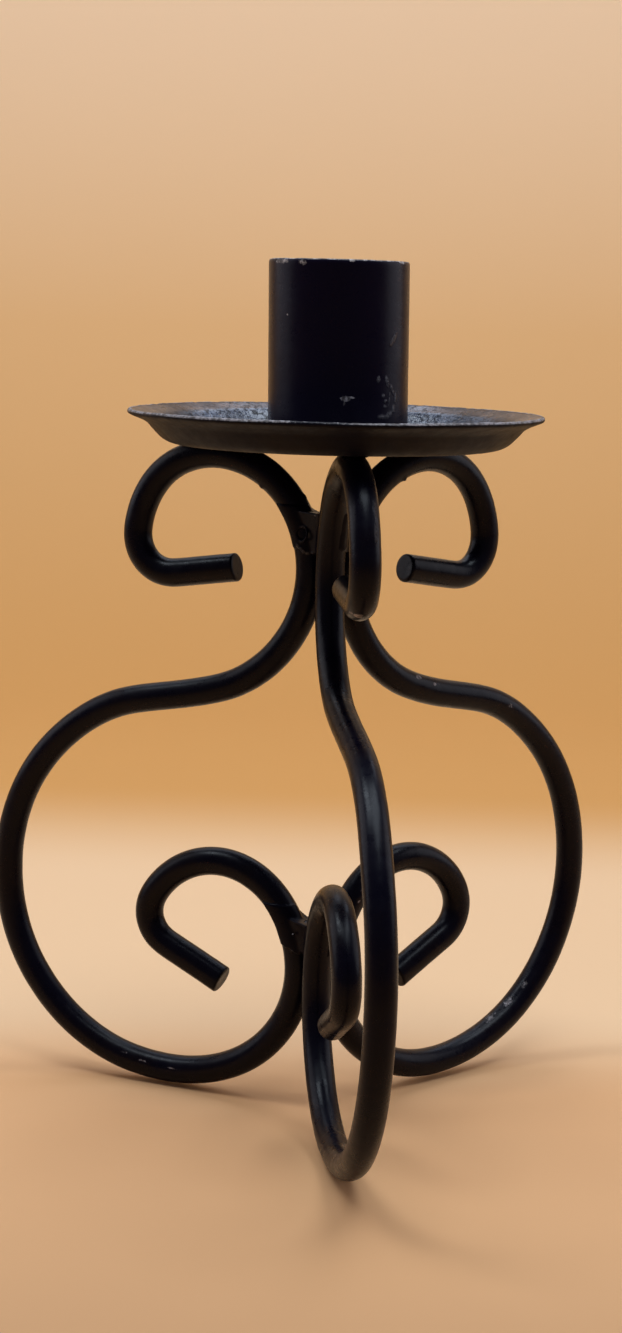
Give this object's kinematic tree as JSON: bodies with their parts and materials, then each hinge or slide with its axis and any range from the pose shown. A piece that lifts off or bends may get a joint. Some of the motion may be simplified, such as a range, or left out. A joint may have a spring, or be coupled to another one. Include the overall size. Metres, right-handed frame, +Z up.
{
  "type": "taper candle holder",
  "caption": "Black wrought-rod taper candle holder: scrolled rod legs carry a shallow round drip pan and a straight tubular candle cup.",
  "frame": {"origin": "on the surface that the feet stand on, straight below the middle of the candle cup", "axes": "+Z up along the candle, -Y towards the tip of the front leg, +X to the right seen from the front"},
  "size_m": [0.1206, 0.1074, 0.1597],
  "materials": {
    "cup_paint": "satin black paint",
    "pan_paint": "semi-gloss black paint, worn bright along the rim",
    "rod_paint": "semi-gloss black paint",
    "weld_paint": "semi-gloss black paint over weld metal"
  },
  "bodies": {
    "root": {"candle_cup": "cup_paint", "drip_pan": "pan_paint", "cup_weld": "weld_paint", "pan_tacks": "weld_paint", "upper_weld": "weld_paint", "lower_weld": "weld_paint", "front_leg": "rod_paint", "left_leg": "rod_paint", "right_leg": "rod_paint"}
  },
  "joints": []
}
